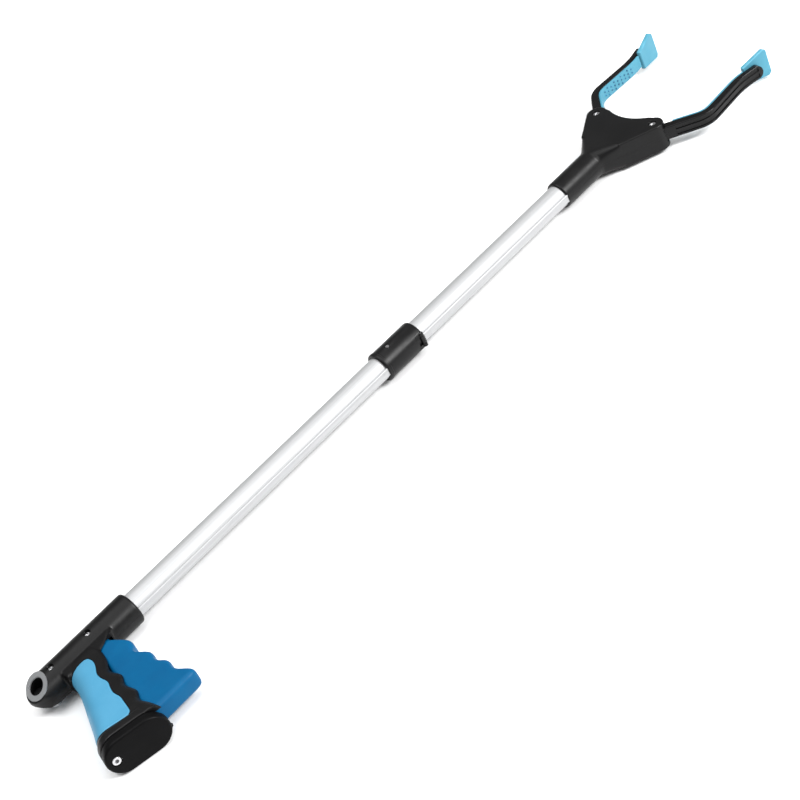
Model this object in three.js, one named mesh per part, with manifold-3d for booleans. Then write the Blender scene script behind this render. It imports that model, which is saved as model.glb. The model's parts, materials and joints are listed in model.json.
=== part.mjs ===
// Folding reacher grabber, millimetres. It lies on its side: +X runs along the tubes towards the jaws,
// the pistol grip hangs towards -Y, and every hinge turns about Z.
// The design is laid out from the tube's axis (Y = 0, Z = 0) and the rear end of the handle's barrel (X = 0);
// the last lines set the whole group on its origin, the middle of the footprint.
import * as THREE from 'three';
import { mergeVertices } from 'three/addons/utils/BufferGeometryUtils.js';
import Module from 'manifold-3d';

const wasm = await Module();
wasm.setup();

// ---- driving dimensions ----
const GAP = 0.3;                 // between pieces that touch
const ROUND = 30;                // sides of a full circle

const BARREL_R = 13.65;
const BARREL_START = -2.5;
const BARREL_END = 99.5;
const SCREW_PIT_R = 3.1;
const REAR_SCREW = [24, -0.8];

const EYELET = [8.4, 0.6];
const EYELET_HOLE = [5.9, 7.6];
const EYELET_RIM = [9.4, 12];
const RIM_THICKNESS = 0.9;
// half thickness of the rear end, where its two sloped faces meet the edge
const WEDGE_TIP = 1.6;
const WEDGE_FRONT = 18.5;         // where a sloped face meets the top of the barrel

const TRIGGER_PIVOT = [60, -1.6];
const TRIGGER_TRAVEL = 17.5;     // degrees of squeeze
const CORD_LEVER = 10.4;
const TRIGGER_HALF = 8.2;
const LEVER_HALF = 4.4;
const SLOT_HALF = 9.1;

const BASE_TILT = 14.6;          // degrees, front end lower
const BASE_CENTRE = [16.1, -115.6];
const BASE_LENGTH = 52;
const BASE_WIDTH = 30;
const CAP_HEIGHT = 8.2;
const BAND_HEIGHT = 7;
const PANEL_DEPTH = 1.9;

const TUBE_R = 10.2;
const TUBE_WALL = 1.3;
const RAIL_HALF = 3.5;
const RAIL_REACH = 11.6;
const TUBE_1 = [76, 392];
const COLLAR = [374.8, 417.8];
const COLLAR_R = 13.2;
const COLLAR_MOUTH_R = 11.7;
const RIVET_X = 388.7;

const FOLD_AXIS = [416, -11.7];
const FOLD_PIN_R = 0.9;
const NOTCH_HALF = 3.9;
const PLUG_R = 11.2;
const PLUG_NEST = 16;
const TUBE_2 = [418.3, 640];

const SLEEVE = [601.3, 646];
const SLEEVE_R = 12.4;
const HEAD_HALF = 12;
const HEAD_CAVITY_HALF = 8;
const JAW_PIVOT = [697.1, 32.4];
const LOBE_R = 9.3;
const HEAD_FRONT = 698.9;

const JAW_OPEN = 45.5;           // degrees from the tube's axis, at rest
const JAW_TRAVEL = 30.3;         // to jaws shut, tip against tip
const JAW_LENGTHS = [46, 49.5, 30];
const JAW_BENDS = [49, -17.5];
const ARM_HALF_HEIGHT = 6.2;
const LINER_THICKNESS = 1.7;
const JAW_LEVER = CORD_LEVER * Math.sin(rad(TRIGGER_TRAVEL / 2)) / Math.sin(rad(JAW_TRAVEL / 2));

// ---- helpers ----
function rad(degrees) {
  return degrees * Math.PI / 180;
}

function solid(geometry) {
  const plain = geometry.index ? geometry.toNonIndexed() : geometry.clone();
  plain.deleteAttribute('normal');
  plain.deleteAttribute('uv');
  const merged = mergeVertices(plain, 1e-4);
  return new wasm.Manifold(new wasm.Mesh({
    numProp: 3,
    vertProperties: new Float32Array(merged.attributes.position.array),
    triVerts: new Uint32Array(merged.index.array),
  }));
}

function geometryOf(manifold) {
  const mesh = manifold.getMesh();
  const geometry = new THREE.BufferGeometry();
  geometry.setAttribute('position', new THREE.BufferAttribute(new Float32Array(mesh.vertProperties), 3));
  geometry.setIndex(new THREE.BufferAttribute(new Uint32Array(mesh.triVerts), 1));
  geometry.computeVertexNormals();
  return geometry;
}

function union(...pieces) {
  return pieces.reduce((sum, piece) => sum.add(piece));
}

function box(low, high) {
  const size = high.map((value, i) => value - low[i]);
  const geometry = new THREE.BoxGeometry(...size);
  geometry.translate(...low.map((value, i) => value + size[i] / 2));
  return solid(geometry);
}

function rodX(radius, x0, x1, y = 0, z = 0, sides = ROUND) {
  const geometry = new THREE.CylinderGeometry(radius, radius, x1 - x0, sides);
  geometry.rotateZ(Math.PI / 2);
  geometry.translate((x0 + x1) / 2, y, z);
  return solid(geometry);
}

function rodZ(radius, z0, z1, [x, y], sides = 24) {
  const geometry = new THREE.CylinderGeometry(radius, radius, z1 - z0, sides);
  geometry.rotateX(Math.PI / 2);
  geometry.translate(x, y, (z0 + z1) / 2);
  return solid(geometry);
}

// Turned about the tube's axis: profile is a list of [x, radius] that starts and ends on the axis.
function turned(profile) {
  const geometry = new THREE.LatheGeometry(profile.map(([x, r]) => new THREE.Vector2(r, x)), ROUND);
  geometry.rotateZ(-Math.PI / 2);
  return solid(geometry);
}

// An outline in the XY plane, extruded from z0 to z1, with its edges rounded by bevel.
function prism(outline, z0, z1, bevel = 0, bevelSegments = 1) {
  const shape = new THREE.Shape(outline.map(([x, y]) => new THREE.Vector2(x, y)));
  const geometry = new THREE.ExtrudeGeometry(shape, {
    depth: z1 - z0 - 2 * bevel,
    bevelEnabled: bevel > 0,
    bevelSize: bevel,
    bevelOffset: -bevel,
    bevelThickness: bevel,
    bevelSegments,
  });
  geometry.translate(0, 0, z0 + bevel);
  return solid(geometry);
}

function ellipse([x, y], [a, b], sides = 28) {
  const outline = [];
  for (let i = 0; i < sides; i += 1) {
    const angle = 2 * Math.PI * i / sides;
    outline.push([x + a * Math.cos(angle), y + b * Math.sin(angle)]);
  }
  return outline;
}

// A smooth line through a few [x, y] points.
function smooth(points, steps) {
  return new THREE.SplineCurve(points.map(([x, y]) => new THREE.Vector2(x,
    y))).getPoints(steps).map((p) => [p.x, p.y]);
}

// The same outline moved inwards by a small distance; outlines run anticlockwise or clockwise.
function shrink(outline, distance) {
  const area = outline.reduce((sum, [x, y], i) => {
    const [nx, ny] = outline[(i + 1) % outline.length];
    return sum + x * ny - nx * y;
  }, 0);
  return outline.map(([x, y], i) => {
    const [ax, ay] = outline[(i + outline.length - 1) % outline.length];
    const [bx, by] = outline[(i + 1) % outline.length];
    const length = Math.hypot(bx - ax, by - ay) * Math.sign(area);
    return [x - distance * (by - ay) / length, y + distance * (bx - ax) / length];
  });
}

function turn([x, y], degrees, [cx, cy]) {
  const c = Math.cos(rad(degrees));
  const s = Math.sin(rad(degrees));
  return [cx + c * (x - cx) - s * (y - cy), cy + s * (x - cx) + c * (y - cy)];
}

// ---- materials ----
const paint = (color, roughness, metalness = 0) => new THREE.MeshStandardMaterial({ color, roughness,
  metalness });
const BLACK = () => paint(0x161616, 0.5);
const GLOSS_BLACK = () => paint(0x101010, 0.25);
const LIGHT_BLUE = () => paint(0x4aa3d4, 0.55);
const DEEP_BLUE = () => paint(0x126eb4, 0.4);
const JAW_BLUE = () => paint(0x5fb9e1, 0.5);
const ALUMINIUM = () => paint(0xe4e6e8, 0.35, 0.9);
const STEEL = () => paint(0xb5b7b9, 0.3, 1);
const CORD = () => paint(0x2a2a2a, 0.7);

const group = new THREE.Group();

function add(name, manifold, material) {
  const mesh = new THREE.Mesh(geometryOf(manifold), material);
  mesh.name = name;
  group.add(mesh);
}

// ---- tubes: a round wall with one flat-topped rail along the -Y side ----
function railedRod(radius, reach, halfWidth, x0, x1) {
  return union(rodX(radius, x0, x1), box([x0, -reach, -halfWidth], [x1, 0, halfWidth]));
}

function tube(x0, x1) {
  return railedRod(TUBE_R, RAIL_REACH, RAIL_HALF, x0,
    x1).subtract(rodX(TUBE_R - TUBE_WALL, x0 - 1, x1 + 1));
}

function tubeSocket(x0, x1) {
  return railedRod(TUBE_R + GAP, RAIL_REACH + GAP, RAIL_HALF + GAP, x0, x1);
}

// ---- handle ----
// Rear and front edges of the grip seen from the side, as X for each Y.
const GRIP_REAR = [[27, -6], [25.2, -19.6], [22, -33.5], [16.7, -47.4], [9.2, -64.5], [2.7, -79.5],
  [-2.6, -91.3], [-5.8, -103], [-7, -116]];
const GRIP_FRONT = [[58, -6], [57.2, -20], [53.6, -34], [47.4, -47], [49.3, -59.5], [44.6, -70],
  [45.6, -83], [41.2, -93], [43.4, -104], [45, -116]];

function edgeAt(line, y) {
  const points = smooth(line, 120);
  for (let i = 1; i < points.length; i += 1) {
    if (points[i][1] <= y) {
      const t = (y - points[i - 1][1]) / (points[i][1] - points[i - 1][1]);
      return points[i - 1][0] + t * (points[i][0] - points[i - 1][0]);
    }
  }
  return points.at(-1)[0];
}

// Half thickness of the grip: slim where it leaves the barrel, then swelling a little towards the base.
function gripHalf(y) {
  const down = (from, to) => Math.min(1, Math.max(0, (from - y) / (from - to)));
  const slim = 1 - down(-8, -30);
  return 12.2 + 2.2 * down(-15, -105) - 3.2 * slim * slim;
}

// One cross-section of the grip: round over the back of the hand, small corners at the front.
function gripRing(y, inset) {
  const rear = edgeAt(GRIP_REAR, y) + inset;
  const front = edgeAt(GRIP_FRONT, y) - inset;
  const half = gripHalf(y) - inset;
  const back = 15;
  const corner = 7;
  const fuller = (value) => Math.sign(value) * Math.abs(value) ** 0.84;
  const ring = [];
  for (let i = 0; i <= 12; i += 1) {
    const angle = Math.PI / 2 + Math.PI * i / 12;
    ring.push([rear + back + back * fuller(Math.cos(angle)), half * fuller(Math.sin(angle))]);
  }
  for (let i = 0; i <= 4; i += 1) {
    const angle = -Math.PI / 2 + Math.PI / 2 * i / 4;
    ring.push([front - corner + corner * Math.cos(angle), -half + corner + corner * Math.sin(angle)]);
  }
  for (let i = 0; i <= 4; i += 1) {
    const angle = Math.PI / 2 * i / 4;
    ring.push([front - corner + corner * Math.cos(angle), half - corner + corner * Math.sin(angle)]);
  }
  return ring;
}

// Closed skin through a stack of rings with equal counts, from high Y to low Y.
function loft(levels, ringAt) {
  const positions = [];
  const index = [];
  const rings = levels.map(ringAt);
  const count = rings[0].length;
  rings.forEach((ring, k) => ring.forEach(([x, z]) => positions.push(x, levels[k], z)));
  for (let k = 0; k + 1 < levels.length; k += 1) {
    for (let i = 0; i < count; i += 1) {
      const a = k * count + i;
      const b = k * count + (i + 1) % count;
      index.push(a, b, a + count, b, b + count, a + count);
    }
  }
  for (const [k, flip] of [[0, false], [levels.length - 1, true]]) {
    const middle = positions.length / 3;
    const xs = rings[k].map(([x]) => x);
    positions.push((Math.min(...xs) + Math.max(...xs)) / 2, levels[k], 0);
    for (let i = 0; i < count; i += 1) {
      const a = k * count + i;
      const b = k * count + (i + 1) % count;
      index.push(...(flip ? [middle, a, b] : [middle, b, a]));
    }
  }
  const geometry = new THREE.BufferGeometry();
  geometry.setAttribute('position', new THREE.Float32BufferAttribute(positions, 3));
  geometry.setIndex(index);
  return solid(geometry);
}

const GRIP_LEVELS = Array.from({ length: 22 }, (_, i) => -8 - i * 5.1);
const grip = (inset) => loft(GRIP_LEVELS, (y) => gripRing(y, inset));

// The base frame: u along the tilted base, h up into the grip.
function onBase(geometry) {
  const tilt = rad(BASE_TILT);
  const along = new THREE.Vector3(Math.cos(tilt), -Math.sin(tilt), 0);
  const up = new THREE.Vector3(Math.sin(tilt), Math.cos(tilt), 0);
  const across = new THREE.Vector3(0, 0, -1);
  const place = new THREE.Matrix4().makeBasis(along, across, up);
  place.setPosition(BASE_CENTRE[0], BASE_CENTRE[1], 0);
  return solid(geometry.applyMatrix4(place));
}

function stadium(h0, h1, inset, bevel) {
  const radius = BASE_WIDTH / 2 - inset;
  const half = (BASE_LENGTH - BASE_WIDTH) / 2;
  const shape = new THREE.Shape();
  shape.absarc(half, 0, radius, -Math.PI / 2, Math.PI / 2);
  shape.absarc(-half, 0, radius, Math.PI / 2, 1.5 * Math.PI);
  const geometry = new THREE.ExtrudeGeometry(shape, {
    depth: h1 - h0 - 2 * bevel,
    bevelEnabled: bevel > 0,
    bevelSize: bevel,
    bevelOffset: -bevel,
    bevelThickness: bevel,
    bevelSegments: 2,
    curveSegments: 8,
  });
  geometry.translate(0, 0, h0 + bevel);
  return geometry;
}

function belowBase(h) {
  const geometry = new THREE.BoxGeometry(200, 80, 60);
  geometry.translate(0, 0, h - 30);
  return onBase(geometry);
}

// Blue panel on the grip: an outline seen from the side.
const PAD_FRONT = [[45, -22.4], [45.2, -29.5], [42.6, -36.5], [38.8, -43.5], [38, -51], [38.2, -58.5],
  [35.6, -65.5], [33.8, -72], [34, -80], [32.3, -87.5], [30.6, -94.5], [29, -99], [25.6, -101.4]];
const PAD_TOP = [[16, -21.4], [28, -20.6], [36, -19.8], [42.6, -20.2]];
const padOutline = [...smooth(PAD_TOP, 6), ...smooth(PAD_FRONT, 30), [8.8, -95.6], [-20, -85]];

const barrel = turned([[BARREL_START, 0], [BARREL_START, BARREL_R], [BARREL_END - 1.6, BARREL_R],
  [BARREL_END - 0.5, BARREL_R - 0.5], [BARREL_END, BARREL_R - 1.6], [BARREL_END, 0]]);
const END_CENTRE = 12;
const barrelEndOutline = [
  ...ellipse([END_CENTRE, 0], [END_CENTRE - BARREL_START, BARREL_R + 0.01],
    40).filter(([x]) => x < END_CENTRE),
  [END_CENTRE, -BARREL_R - 1], [120, -BARREL_R - 1], [120, BARREL_R + 1], [END_CENTRE, BARREL_R + 1],
];
const wedgeSlope = (BARREL_R - WEDGE_TIP) / (WEDGE_FRONT - BARREL_START);

// The room above a sloped rear face, raised by lift along Z.
function aboveWedge(lift) {
  const z = (x) => WEDGE_TIP + wedgeSlope * (x - BARREL_START) + lift;
  const shape = new THREE.Shape([[-30, z(-30)], [60, z(60)], [60, 80],
    [-30, 80]].map(([x, h]) => new THREE.Vector2(x, h)));
  const geometry = new THREE.ExtrudeGeometry(shape, { depth: 60, bevelEnabled: false });
  geometry.translate(0, 0, -30);
  geometry.rotateX(Math.PI / 2);
  return solid(geometry);
}
const band = onBase(stadium(CAP_HEIGHT + GAP, CAP_HEIGHT + GAP + BAND_HEIGHT, 0, 0));
const neck = prism([[23, 4], [24.6, -8], [25.2, -20], [56, -23.5], [61.5, -21.2], [70, -15.4],
  [75.5, -10.6], [79, 4]], -9.8, 9.8, 3);
const slotOutline = [[46, -12], [2.4, -98.5], [-1.4, -112], [12, -140], [90, -140], [90, -14.2],
  [69, -14.2], [63, -12]];
const leverCavity = union(
  prism([[50, -24], [52.6, 2.6], [57, 4.6], [63, 4.6], [66.8, 0], [70.5, -13], [70.5, -24]],
    -LEVER_HALF - 0.5, LEVER_HALF + 0.5),
  box([54, -15, -2.2], [TUBE_1[0] + 1, -3.2, 2.2]),
);
const trimSeat = aboveWedge(-RIM_THICKNESS - GAP).intersect(prism(ellipse(EYELET,
  [EYELET_RIM[0] + GAP, EYELET_RIM[1] + GAP]), -20, 20));

function handleBody() {
  const outer = union(barrel.intersect(prism(barrelEndOutline, -20, 20)), neck,
    grip(0).subtract(belowBase(CAP_HEIGHT + GAP)), band);
  const padRoom = prism(padOutline, -20, 20).subtract(grip(PANEL_DEPTH + GAP)).subtract(barrel);
  return outer
    .subtract(aboveWedge(0))
    .subtract(aboveWedge(0).mirror([0, 0, 1]))
    .subtract(trimSeat)
    .subtract(trimSeat.mirror([0, 0, 1]))
    .subtract(prism(ellipse(EYELET, EYELET_HOLE), -20, 20))
    .subtract(tubeSocket(TUBE_1[0] - GAP, 120))
    .subtract(rodX(BARREL_R - 6.4, TUBE_1[0] - 4, 90))
    .subtract(prism(slotOutline, -SLOT_HALF, SLOT_HALF))
    .subtract(leverCavity)
    .subtract(padRoom)
    .subtract(rodZ(2 + GAP, -11.6, 20, TRIGGER_PIVOT))
    .subtract(rodZ(SCREW_PIT_R, 9.8, 20, TRIGGER_PIVOT))
    .subtract(rodZ(1.5 + GAP, -9.6, 20, REAR_SCREW))
    .subtract(rodZ(SCREW_PIT_R, 9.8, 20, REAR_SCREW));
}

const handle = handleBody();
add('handle_shell_left', handle.subtract(box([-50, -200, -60], [200, 60, GAP / 2])), BLACK());
add('handle_shell_right', handle.subtract(box([-50, -200, -GAP / 2], [200, 60, 60])), BLACK());

const barrelRoom = rodX(BARREL_R + GAP, -5, BARREL_END);
add('grip_panel', grip(0).intersect(prism(shrink(padOutline, GAP), -20,
  20)).subtract(grip(PANEL_DEPTH)).subtract(barrelRoom), LIGHT_BLUE());

for (const [side, label] of [[1, 'left'], [-1, 'right']]) {
  const ring = prism(ellipse(EYELET, EYELET_RIM), -20, 20)
    .intersect(aboveWedge(-RIM_THICKNESS))
    .subtract(aboveWedge(0))
    .subtract(prism(ellipse(EYELET, EYELET_HOLE), -20, 20))
    .intersect(prism(barrelEndOutline, -20, 20))
    .intersect(barrel);
  add(`eyelet_trim_${label}`, side > 0 ? ring : ring.mirror([0, 0, 1]), STEEL());
}

// ---- base cap and its screw ----
const CAP_SCREW_U = -18;
const capScrewHead = (radius, h0, h1, sides = 24) => {
  const geometry = new THREE.CylinderGeometry(radius, radius, h1 - h0, sides);
  geometry.rotateX(Math.PI / 2);
  geometry.translate(CAP_SCREW_U, 0, (h0 + h1) / 2);
  return onBase(geometry);
};
add('base_cap', onBase(stadium(0, CAP_HEIGHT, 0, 1.6)).subtract(capScrewHead(3.6 + GAP, -1,
  4)).subtract(capScrewHead(1.6 + GAP, -1, 20)), BLACK());
add('base_cap_screw', union(capScrewHead(3.6, 0.3, 3.7),
  capScrewHead(1.6, 3, 7.9)).subtract(capScrewHead(1.8, -1, 2.2, 6)), STEEL());

// ---- screws through the handle ----
function screw(headRadius, shaftRadius, zLow, zHead, zTop, centre) {
  return union(rodZ(shaftRadius, zLow, zHead + 0.5, centre, 16), rodZ(headRadius, zHead, zTop, centre))
    .subtract(rodZ(headRadius * 0.5, zTop - 0.9, zTop + 1, centre, 6));
}
add('trigger_pivot_screw', screw(SCREW_PIT_R - GAP, 2, -11.3, 9.8 + GAP, 11.6, TRIGGER_PIVOT), STEEL());
add('handle_rear_screw', screw(SCREW_PIT_R - GAP, 1.5, -9.3, 9.8 + GAP, 11.6, REAR_SCREW), STEEL());

// ---- trigger ----
const TRIGGER_FRONT = [[65.6, -15.2], [70.4, -23], [74.6, -33.4], [73.4, -40], [69.6, -46.5],
  [75.4, -59.5], [72.9, -70], [76.7, -79.8], [74.6, -91], [80.4, -103.4], [79.4, -109], [74, -110.4]];
const TRIGGER_REAR = [[42, -110], [37.6, -106.5], [40.4, -84], [44.4, -60], [48.6, -40], [53, -22],
  [58, -15.2]];
const triggerShape = [...smooth(TRIGGER_FRONT, 44), ...smooth(TRIGGER_REAR, 12)];
const leverRest = TRIGGER_TRAVEL / 2;
const NIPPLE = turn([TRIGGER_PIVOT[0], TRIGGER_PIVOT[1] - CORD_LEVER], leverRest, TRIGGER_PIVOT);
const trigger = union(
  prism(triggerShape, -TRIGGER_HALF, TRIGGER_HALF, 3, 2),
  rodZ(4.6, -LEVER_HALF, LEVER_HALF, TRIGGER_PIVOT),
  prism([[55.6, -2], [64.4, -2], [67.6, -12], [66.4, -24], [55, -24]], -LEVER_HALF, LEVER_HALF),
)
  .subtract(rodZ(2 + GAP, -20, 20, TRIGGER_PIVOT))
  .subtract(rodZ(1.9 + 0.45, -3, 3, NIPPLE))
  .subtract(box([NIPPLE[0] - 0.5, NIPPLE[1] - 2.6, -1.6], [80, NIPPLE[1] + 6, 1.6]));
add('trigger', trigger, DEEP_BLUE());

// Torsion spring beside the lever: a ring of wire with one leg.
function ringSpring(radius, wire, z, centre, legTo) {
  const ring = new THREE.TorusGeometry(radius, wire, 6, 20);
  ring.translate(centre[0], centre[1], z);
  const length = Math.hypot(legTo[0], legTo[1]);
  const leg = new THREE.CylinderGeometry(wire * 0.9, wire * 0.9, length, 6);
  leg.rotateZ(Math.atan2(legTo[1], legTo[0]) - Math.PI / 2);
  const start = [centre[0] - radius * legTo[1] / length, centre[1] + radius * legTo[0] / length];
  leg.translate(start[0] + legTo[0] / 2, start[1] + legTo[1] / 2, z);
  return union(solid(ring), solid(leg));
}

// ---- pull cord: rear half from the trigger to the fold, front half from the fold to the yoke ----
const CORD_Y = -6.5;
const CORD_R = 0.9;
function cordAlong(points, steps) {
  const section = new THREE.Shape();
  section.absarc(0, 0, CORD_R, 0, 2 * Math.PI);
  const path = new THREE.CatmullRomCurve3(points.map(([x, y]) => new THREE.Vector3(x, y, 0)));
  return solid(new THREE.ExtrudeGeometry(section,
    { steps, extrudePath: path, curveSegments: 4, bevelEnabled: false }));
}
const rearCord = cordAlong([NIPPLE, [70, -9.2], [82, CORD_Y], [110, CORD_Y], [250, CORD_Y],
  [396, CORD_Y]], 24);
add('pull_cord_rear', union(rearCord, rodZ(1.9, -2.6, 2.6, NIPPLE)), CORD());

// ---- rear tube, fold collar ----
const collarShell = turned([[COLLAR[0], 0], [COLLAR[0], COLLAR_R - 1], [COLLAR[0] + 1, COLLAR_R],
  [COLLAR[1] - 1.2, COLLAR_R], [COLLAR[1], COLLAR_R - 0.9], [COLLAR[1], 0]]);
const EAR = { inner: NOTCH_HALF, outer: 6.4, radius: 1.9 };
function ear(side) {
  const z = [EAR.inner * side, EAR.outer * side].sort((a, b) => a - b);
  return union(rodZ(EAR.radius, z[0], z[1], FOLD_AXIS),
    box([FOLD_AXIS[0] - 6, -11.7, z[0]], [FOLD_AXIS[0], -9.8, z[1]]));
}
const mouthDepth = 26;
const collar = collarShell
  .subtract(tubeSocket(COLLAR[0] - 1, TUBE_1[1] + GAP))
  .subtract(rodX(COLLAR_MOUTH_R, COLLAR[1] - mouthDepth, COLLAR[1] + 10))
  .add(ear(1))
  .add(ear(-1))
  .subtract(box([COLLAR[1] - 7.5, -20, -NOTCH_HALF], [COLLAR[1] + 6, 0, NOTCH_HALF]))
  .subtract(rodZ(FOLD_PIN_R + GAP, -EAR.outer - 1, EAR.outer + 1, FOLD_AXIS))
  .subtract(rodZ(1.5 + GAP, -20, 20, [RIVET_X, -2.5]));
add('fold_collar', collar, BLACK());

add('tube_rear', tube(...TUBE_1).subtract(rodZ(1.5 + GAP, -20, 20, [RIVET_X, -2.5])), ALUMINIUM());
add('collar_rivet', rodZ(1.5, -12.9, 12.9, [RIVET_X, -2.5], 16), STEEL());
add('fold_pin', rodZ(FOLD_PIN_R, -EAR.outer, EAR.outer, FOLD_AXIS, 16), STEEL());

// ---- front tube with its hinge plug ----
// The plug's nose is cut back to the arcs that it sweeps about the fold axis, so it swings out of the collar.
function sweepLimit() {
  const rings = [];
  const reach = 6;
  for (let i = 0; i <= 12; i += 1) {
    const z = -PLUG_R + 2 * PLUG_R * i / 12;
    const half = Math.sqrt(Math.max(0, PLUG_R * PLUG_R - z * z));
    rings.push([half - FOLD_AXIS[1], z]);
  }
  const profile = [new THREE.Vector2(0, -PLUG_R - reach)];
  profile.push(new THREE.Vector2(-FOLD_AXIS[1], -PLUG_R - reach));
  rings.forEach(([r, z]) => profile.push(new THREE.Vector2(r, z)));
  profile.push(new THREE.Vector2(-FOLD_AXIS[1], PLUG_R + reach), new THREE.Vector2(0, PLUG_R + reach));
  const geometry = new THREE.LatheGeometry(profile, 72);
  geometry.rotateX(Math.PI / 2);
  geometry.translate(FOLD_AXIS[0], FOLD_AXIS[1], 0);
  return solid(geometry);
}
const plugRearX = COLLAR[1] - PLUG_NEST;
const nose = rodX(PLUG_R, plugRearX, TUBE_2[0] - GAP).subtract(box([plugRearX - 1, -20, -20],
  [FOLD_AXIS[0], 20, 20]).subtract(sweepLimit()));
const stem = rodX(TUBE_R - TUBE_WALL - GAP, TUBE_2[0] - 2, TUBE_2[0] + 22);
const KNUCKLE_HALF = NOTCH_HALF - 0.4;
const EAR_ROOM = 0.8;            // clearance that lets the collar's rim pass the plug as it swings
const earRoom = (side) => {
  const z = [(EAR.inner - 0.2) * side, (EAR.outer + EAR_ROOM) * side].sort((a, b) => a - b);
  return union(rodZ(EAR.radius + EAR_ROOM, z[0], z[1], FOLD_AXIS),
    box([FOLD_AXIS[0] - 9, -20, z[0]], [FOLD_AXIS[0], -9.8 + EAR_ROOM, z[1]]));
};
const knuckle = union(
  rodZ(1.9, -KNUCKLE_HALF, KNUCKLE_HALF, FOLD_AXIS),
  box([FOLD_AXIS[0] - 0.5, -12.6, -KNUCKLE_HALF], [TUBE_2[0] - GAP, -8, KNUCKLE_HALF]),
);
const plug = union(nose.subtract(earRoom(1)).subtract(earRoom(-1)), stem, knuckle)
  .subtract(rodZ(FOLD_PIN_R + GAP, -20, 20, FOLD_AXIS))
  .subtract(rodX(3, plugRearX - 5, TUBE_2[0] + 30, CORD_Y + 1));
add('fold_plug', plug, BLACK());
add('tube_front', tube(...TUBE_2), ALUMINIUM());

// ---- head ----
const [PX, PY] = JAW_PIVOT;
const HEAD_FLAT_START = 664;
const flankEnd = [PX + LOBE_R * Math.cos(rad(118)), PY + LOBE_R * Math.sin(rad(118))];
const flankHalf = (x) => 14.6 + (flankEnd[1] - 14.6) * (x - 652) / (flankEnd[0] - 652);
function headOutline(grow) {
  const radius = LOBE_R + grow;
  const outline = [[HEAD_FLAT_START, -flankHalf(HEAD_FLAT_START) - grow]];
  for (let i = 0; i <= 12; i += 1) {
    const angle = rad(-118 + i * 12.5);
    outline.push([PX + radius * Math.cos(angle), -PY + radius * Math.sin(angle)]);
  }
  const frontX = HEAD_FRONT + grow;
  for (let i = 1; i < 12; i += 1) {
    const y = -PY + 8 + (2 * PY - 16) * i / 12;
    outline.push([frontX + 6.2 * (y / (PY - 8)) ** 2, y]);
  }
  for (let i = 12; i >= 0; i -= 1) {
    const angle = rad(118 - i * 12.5);
    outline.push([PX + radius * Math.cos(angle), PY + radius * Math.sin(angle)]);
  }
  outline.push([HEAD_FLAT_START, flankHalf(HEAD_FLAT_START) + grow]);
  return outline;
}

// From the round sleeve to the flat head: sections that grow wider and squarer.
function headNeck() {
  const xs = [SLEEVE[1] - 3, SLEEVE[1], 649, 652, 656, 660, HEAD_FLAT_START + 2];
  const sides = 36;
  const positions = [];
  const index = [];
  xs.forEach((x, k) => {
    const t = Math.max(0, (x - SLEEVE[1]) / (HEAD_FLAT_START + 2 - SLEEVE[1]));
    const width = Math.max(SLEEVE_R, flankHalf(x));
    const height = SLEEVE_R + (HEAD_HALF - SLEEVE_R) * t;
    const power = 1 - 0.82 * t ** 0.7;
    for (let i = 0; i < sides; i += 1) {
      const c = Math.cos(2 * Math.PI * i / sides);
      const s = Math.sin(2 * Math.PI * i / sides);
      positions.push(x, width * Math.sign(c) * Math.abs(c) ** power,
        height * Math.sign(s) * Math.abs(s) ** power);
      if (k > 0) {
        const a = (k - 1) * sides + i;
        const b = (k - 1) * sides + (i + 1) % sides;
        index.push(a, b, a + sides, b, b + sides, a + sides);
      }
    }
  });
  for (const [k, flip] of [[0, true], [xs.length - 1, false]]) {
    const middle = positions.length / 3;
    positions.push(xs[k], 0, 0);
    for (let i = 0; i < sides; i += 1) {
      const a = k * sides + i;
      const b = k * sides + (i + 1) % sides;
      index.push(...(flip ? [middle, b, a] : [middle, a, b]));
    }
  }
  const geometry = new THREE.BufferGeometry();
  geometry.setAttribute('position', new THREE.Float32BufferAttribute(positions, 3));
  geometry.setIndex(index);
  return solid(geometry);
}

const sleeve = turned([[SLEEVE[0], 0], [SLEEVE[0], SLEEVE_R - 0.8], [SLEEVE[0] + 0.8, SLEEVE_R],
  [SLEEVE[1], SLEEVE_R], [SLEEVE[1], 0]]);
function mirrored(outline) {
  return outline.map(([x, y]) => [x, -y]);
}
const bayOutline = [[656, -7], [PX - 14, -PY + 2], [PX - 8, -PY + 2], [PX - 8, -17],
  [HEAD_FRONT - 1.6, -17], [HEAD_FRONT - 2.4, 0],
  [HEAD_FRONT - 1.6, 17], [PX - 8, 17], [PX - 8, PY - 2], [PX - 14, PY - 2], [656, 7]];
// The room one arm sweeps, from wide open to closed, beside its pivot.
const armExit = [PX - 4.9 * Math.sin(rad(JAW_OPEN)), PY + 4.9 * Math.cos(rad(JAW_OPEN))];
const armRoom = [armExit, [armExit[0] + 36 * Math.cos(rad(JAW_OPEN)),
  armExit[1] + 36 * Math.sin(rad(JAW_OPEN))],
  [PX + 50, PY], [PX + 50, 17], [PX - 8.5, 17], [PX - 8.5, PY - 2]];
const headCavity = union(
  prism(bayOutline, -HEAD_CAVITY_HALF, HEAD_CAVITY_HALF),
  prism(armRoom, -HEAD_CAVITY_HALF, HEAD_CAVITY_HALF),
  prism(mirrored(armRoom), -HEAD_CAVITY_HALF, HEAD_CAVITY_HALF),
  rodZ(6.2, -HEAD_CAVITY_HALF, HEAD_CAVITY_HALF, [PX, PY]),
  rodZ(6.2, -HEAD_CAVITY_HALF, HEAD_CAVITY_HALF, [PX, -PY]),
  rodX(6.5, TUBE_2[1] - 2, 664),
);
function jawScrewHoles(radius, z0, z1) {
  return union(rodZ(radius, z0, z1, [PX, PY]), rodZ(radius, z0, z1, [PX, -PY]));
}
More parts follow.
